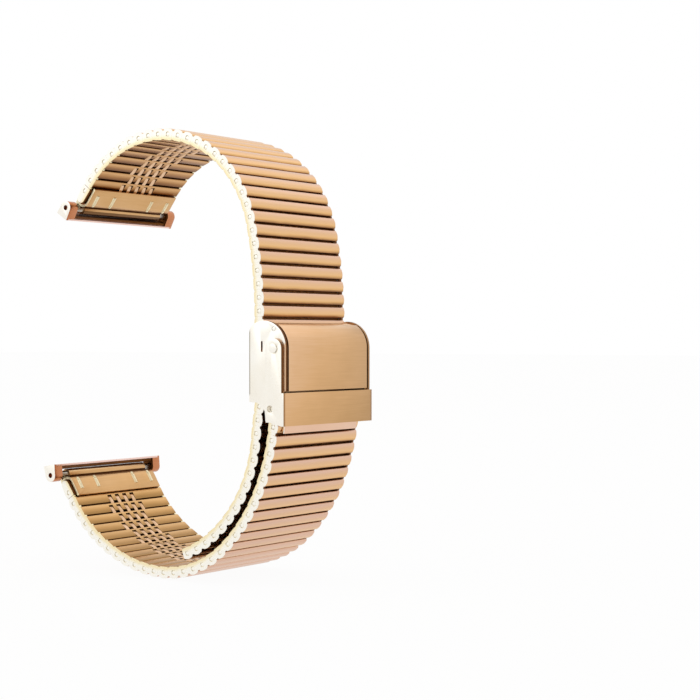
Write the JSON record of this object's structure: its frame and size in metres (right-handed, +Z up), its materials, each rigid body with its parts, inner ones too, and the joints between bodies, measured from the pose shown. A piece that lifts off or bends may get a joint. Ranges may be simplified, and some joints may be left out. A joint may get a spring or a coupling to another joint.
{
  "type": "smartwatch link bracelet",
  "caption": "Narrow-bar link bracelet for a watch, curled as worn, with a sliding cam clasp, a safety bail, a free tail and slide-in watch adapters.",
  "frame": {"origin": "middle of the clasp's back plate, on the face that lies on the wrist", "axes": "+X outward from the wrist through the clasp, +Y across the band, +Z up along the clasp towards the upper adapter's half of the strap"},
  "size_m": [0.0455, 0.0242, 0.0665],
  "materials": {
    "link_steel": "rose gold plated steel, satin, brighter at the bevels",
    "clasp_steel": "rose gold plated steel, brushed lengthwise",
    "adapter_steel": "rose gold plated steel, smooth",
    "pin_steel": "plated steel wire, smooth"
  },
  "bodies": {
    "clasp": {"clasp_box": "clasp_steel", "held_links": "link_steel", "cover_hinge_pin": "pin_steel", "lower_strap_pin": "pin_steel", "bail_rivets": "pin_steel"},
    "cover": {"clasp_cover": "clasp_steel", "lock_bar": "clasp_steel"},
    "bail": {"safety_bail": "clasp_steel"},
    "upper_1": {"upper_links_1": "link_steel"},
    "upper_2": {"upper_links_2": "link_steel"},
    "upper_3": {"upper_links_3": "link_steel"},
    "upper_4": {"upper_links_4": "link_steel"},
    "upper_5": {"upper_links_5": "link_steel"},
    "upper_6": {"upper_links_6": "link_steel"},
    "upper_7": {"upper_links_7": "link_steel"},
    "upper_8": {"upper_links_8": "link_steel"},
    "upper_9": {"upper_links_9": "link_steel"},
    "upper_10": {"upper_links_10": "link_steel"},
    "upper_11": {"upper_links_11": "link_steel"},
    "upper_12": {"upper_links_12": "link_steel"},
    "upper_13": {"upper_links_13": "link_steel"},
    "upper_14": {"upper_links_14": "link_steel"},
    "upper_15": {"upper_links_15": "link_steel", "upper_end_plate": "link_steel", "upper_spring_bar": "pin_steel"},
    "lower_1": {"lower_links_1": "link_steel", "end_hook": "clasp_steel"},
    "lower_2": {"lower_links_2": "link_steel"},
    "lower_3": {"lower_links_3": "link_steel"},
    "lower_4": {"lower_links_4": "link_steel"},
    "lower_5": {"lower_links_5": "link_steel"},
    "lower_6": {"lower_links_6": "link_steel"},
    "lower_7": {"lower_links_7": "link_steel"},
    "lower_8": {"lower_links_8": "link_steel"},
    "lower_9": {"lower_links_9": "link_steel"},
    "lower_10": {"lower_links_10": "link_steel"},
    "lower_11": {"lower_links_11": "link_steel"},
    "lower_12": {"lower_links_12": "link_steel"},
    "lower_13": {"lower_links_13": "link_steel"},
    "lower_14": {"lower_links_14": "link_steel"},
    "lower_15": {"lower_links_15": "link_steel"},
    "lower_16": {"lower_links_16": "link_steel", "lower_end_plate": "link_steel", "lower_spring_bar": "pin_steel"},
    "tail_1": {"tail_links_1": "link_steel"},
    "tail_2": {"tail_links_2": "link_steel"},
    "tail_3": {"tail_links_3": "link_steel"},
    "tail_4": {"tail_links_4": "link_steel"},
    "tail_5": {"tail_links_5": "link_steel"},
    "tail_6": {"tail_links_6": "link_steel"},
    "tail_7": {"tail_links_7": "link_steel"},
    "upper_watch_end": {"upper_adapter": "adapter_steel"},
    "upper_tip_near": {"upper_bar_tip_near": "pin_steel"},
    "upper_tip_far": {"upper_bar_tip_far": "pin_steel"},
    "lower_watch_end": {"lower_adapter": "adapter_steel"},
    "lower_tip_near": {"lower_bar_tip_near": "pin_steel"},
    "lower_tip_far": {"lower_bar_tip_far": "pin_steel"}
  },
  "joints": [
    {"name": "cover_hinge", "type": "hinge", "parent": "clasp", "child": "cover", "pos_m": [0.00437, 0, 0.00543], "axis": [0, -1, 0], "range_deg": [0, 100]},
    {"name": "bail_hinge", "type": "hinge", "parent": "clasp", "child": "bail", "pos_m": [0.0047, 0, 0.0027], "axis": [0, -1, 0], "range_deg": [0, 75]},
    {"name": "upper_hinge_1", "type": "hinge", "parent": "clasp", "child": "upper_1", "pos_m": [0.0014, 0, 0.00601], "axis": [0, -1, 0], "range_deg": [-12, 3]},
    {"name": "upper_hinge_2", "type": "hinge", "parent": "upper_1", "child": "upper_2", "pos_m": [0.00134, 0, 0.00987], "axis": [0, -1, 0], "range_deg": [-12, 3]},
    {"name": "upper_hinge_3", "type": "hinge", "parent": "upper_2", "child": "upper_3", "pos_m": [0.00104, 0, 0.01372], "axis": [0, -1, 0], "range_deg": [-12, 3]},
    {"name": "upper_hinge_4", "type": "hinge", "parent": "upper_3", "child": "upper_4", "pos_m": [0.00049, 0, 0.01754], "axis": [0, -1, 0], "range_deg": [-12, 3]},
    {"name": "upper_hinge_5", "type": "hinge", "parent": "upper_4", "child": "upper_5", "pos_m": [-0.00029, 0, 0.02132], "axis": [0, -1, 0], "range_deg": [-12, 3]},
    {"name": "upper_hinge_6", "type": "hinge", "parent": "upper_5", "child": "upper_6", "pos_m": [-0.00174, 0, 0.02489], "axis": [0, -1, 0], "range_deg": [-12, 3]},
    {"name": "upper_hinge_7", "type": "hinge", "parent": "upper_6", "child": "upper_7", "pos_m": [-0.00393, 0, 0.02806], "axis": [0, -1, 0], "range_deg": [-12, 3]},
    {"name": "upper_hinge_8", "type": "hinge", "parent": "upper_7", "child": "upper_8", "pos_m": [-0.00676, 0, 0.03068], "axis": [0, -1, 0], "range_deg": [-12, 3]},
    {"name": "upper_hinge_9", "type": "hinge", "parent": "upper_8", "child": "upper_9", "pos_m": [-0.01009, 0, 0.03261], "axis": [0, -1, 0], "range_deg": [-12, 3]},
    {"name": "upper_hinge_10", "type": "hinge", "parent": "upper_9", "child": "upper_10", "pos_m": [-0.01375, 0, 0.03381], "axis": [0, -1, 0], "range_deg": [-12, 3]},
    {"name": "upper_hinge_11", "type": "hinge", "parent": "upper_10", "child": "upper_11", "pos_m": [-0.01758, 0, 0.03424], "axis": [0, -1, 0], "range_deg": [-12, 3]},
    {"name": "upper_hinge_12", "type": "hinge", "parent": "upper_11", "child": "upper_12", "pos_m": [-0.02142, 0, 0.03387], "axis": [0, -1, 0], "range_deg": [-12, 3]},
    {"name": "upper_hinge_13", "type": "hinge", "parent": "upper_12", "child": "upper_13", "pos_m": [-0.0251, 0, 0.03273], "axis": [0, -1, 0], "range_deg": [-12, 3]},
    {"name": "upper_hinge_14", "type": "hinge", "parent": "upper_13", "child": "upper_14", "pos_m": [-0.02844, 0, 0.0308], "axis": [0, -1, 0], "range_deg": [-12, 3]},
    {"name": "upper_hinge_15", "type": "hinge", "parent": "upper_14", "child": "upper_15", "pos_m": [-0.03124, 0, 0.02815], "axis": [0, -1, 0], "range_deg": [-12, 3]},
    {"name": "lower_hinge_1", "type": "hinge", "parent": "clasp", "child": "lower_1", "pos_m": [0.0041, 0, -0.0058], "axis": [0, 1, 0], "range_deg": [-3, 0.5]},
    {"name": "lower_hinge_2", "type": "hinge", "parent": "lower_1", "child": "lower_2", "pos_m": [0.00359, 0, -0.0103], "axis": [0, 1, 0], "range_deg": [-11, 0.5]},
    {"name": "lower_hinge_3", "type": "hinge", "parent": "lower_2", "child": "lower_3", "pos_m": [0.00265, 0, -0.01404], "axis": [0, 1, 0], "range_deg": [-11, 1]},
    {"name": "lower_hinge_4", "type": "hinge", "parent": "lower_3", "child": "lower_4", "pos_m": [0.00126, 0, -0.01764], "axis": [0, 1, 0], "range_deg": [-11, 1]},
    {"name": "lower_hinge_5", "type": "hinge", "parent": "lower_4", "child": "lower_5", "pos_m": [-0.00064, 0, -0.021], "axis": [0, 1, 0], "range_deg": [-11, 1.5]},
    {"name": "lower_hinge_6", "type": "hinge", "parent": "lower_5", "child": "lower_6", "pos_m": [-0.00302, 0, -0.02404], "axis": [0, 1, 0], "range_deg": [-11, 1.5]},
    {"name": "lower_hinge_7", "type": "hinge", "parent": "lower_6", "child": "lower_7", "pos_m": [-0.00582, 0, -0.02668], "axis": [0, 1, 0], "range_deg": [-11, 2]},
    {"name": "lower_hinge_8", "type": "hinge", "parent": "lower_7", "child": "lower_8", "pos_m": [-0.0091, 0, -0.02872], "axis": [0, 1, 0], "range_deg": [-11, 2.5]},
    {"name": "lower_hinge_9", "type": "hinge", "parent": "lower_8", "child": "lower_9", "pos_m": [-0.01273, 0, -0.03001], "axis": [0, 1, 0], "range_deg": [-11, 2.5]},
    {"name": "lower_hinge_10", "type": "hinge", "parent": "lower_9", "child": "lower_10", "pos_m": [-0.01655, 0, -0.03048], "axis": [0, 1, 0], "range_deg": [-11, 2.5]},
    {"name": "lower_hinge_11", "type": "hinge", "parent": "lower_10", "child": "lower_11", "pos_m": [-0.0204, 0, -0.03017], "axis": [0, 1, 0], "range_deg": [-11, 2.5]},
    {"name": "lower_hinge_12", "type": "hinge", "parent": "lower_11", "child": "lower_12", "pos_m": [-0.02414, 0, -0.02923], "axis": [0, 1, 0], "range_deg": [-11, 2.5]},
    {"name": "lower_hinge_13", "type": "hinge", "parent": "lower_12", "child": "lower_13", "pos_m": [-0.02766, 0, -0.02767], "axis": [0, 1, 0], "range_deg": [-11, 2.5]},
    {"name": "lower_hinge_14", "type": "hinge", "parent": "lower_13", "child": "lower_14", "pos_m": [-0.03088, 0, -0.02555], "axis": [0, 1, 0], "range_deg": [-11, 2.5]},
    {"name": "lower_hinge_15", "type": "hinge", "parent": "lower_14", "child": "lower_15", "pos_m": [-0.03366, 0, -0.02287], "axis": [0, 1, 0], "range_deg": [-11, 2.5]},
    {"name": "lower_hinge_16", "type": "hinge", "parent": "lower_15", "child": "lower_16", "pos_m": [-0.03589, 0, -0.01973], "axis": [0, 1, 0], "range_deg": [-11, 2.5]},
    {"name": "tail_hinge_1", "type": "hinge", "parent": "clasp", "child": "tail_1", "pos_m": [0.0011, 0, -0.00748], "axis": [0, 1, 0], "range_deg": [-1, 11]},
    {"name": "tail_hinge_2", "type": "hinge", "parent": "tail_1", "child": "tail_2", "pos_m": [0.00062, 0, -0.01131], "axis": [0, 1, 0], "range_deg": [-1, 11]},
    {"name": "tail_hinge_3", "type": "hinge", "parent": "tail_2", "child": "tail_3", "pos_m": [-0.00033, 0, -0.01504], "axis": [0, 1, 0], "range_deg": [-1, 11]},
    {"name": "tail_hinge_4", "type": "hinge", "parent": "tail_3", "child": "tail_4", "pos_m": [-0.00196, 0, -0.01854], "axis": [0, 1, 0], "range_deg": [-1, 11]},
    {"name": "tail_hinge_5", "type": "hinge", "parent": "tail_4", "child": "tail_5", "pos_m": [-0.0042, 0, -0.02168], "axis": [0, 1, 0], "range_deg": [-2, 11]},
    {"name": "tail_hinge_6", "type": "hinge", "parent": "tail_5", "child": "tail_6", "pos_m": [-0.00698, 0, -0.02435], "axis": [0, 1, 0], "range_deg": [-3, 11]},
    {"name": "tail_hinge_7", "type": "hinge", "parent": "tail_6", "child": "tail_7", "pos_m": [-0.01021, 0, -0.02646], "axis": [0, 1, 0], "range_deg": [-4, 11]},
    {"name": "upper_adapter_hinge", "type": "hinge", "parent": "upper_15", "child": "upper_watch_end", "pos_m": [-0.03434, 0, 0.02402], "axis": [0, -1, 0], "range_deg": [-40, 40]},
    {"name": "upper_tip_near_slide", "type": "slide", "parent": "upper_15", "child": "upper_tip_near", "axis": [0, 1, 0], "range_m": [0, 0.0009], "stiffness_N_per_m": 600, "springref_m": -0.0005},
    {"name": "upper_tip_far_slide", "type": "slide", "parent": "upper_15", "child": "upper_tip_far", "axis": [0, -1, 0], "range_m": [0, 0.0009], "stiffness_N_per_m": 600, "springref_m": -0.0005},
    {"name": "lower_adapter_hinge", "type": "hinge", "parent": "lower_16", "child": "lower_watch_end", "pos_m": [-0.03764, 0, -0.017], "axis": [0, -1, 0], "range_deg": [-40, 40]},
    {"name": "lower_tip_near_slide", "type": "slide", "parent": "lower_16", "child": "lower_tip_near", "axis": [0, 1, 0], "range_m": [0, 0.0009], "stiffness_N_per_m": 600, "springref_m": -0.0005},
    {"name": "lower_tip_far_slide", "type": "slide", "parent": "lower_16", "child": "lower_tip_far", "axis": [0, -1, 0], "range_m": [0, 0.0009], "stiffness_N_per_m": 600, "springref_m": -0.0005}
  ]
}
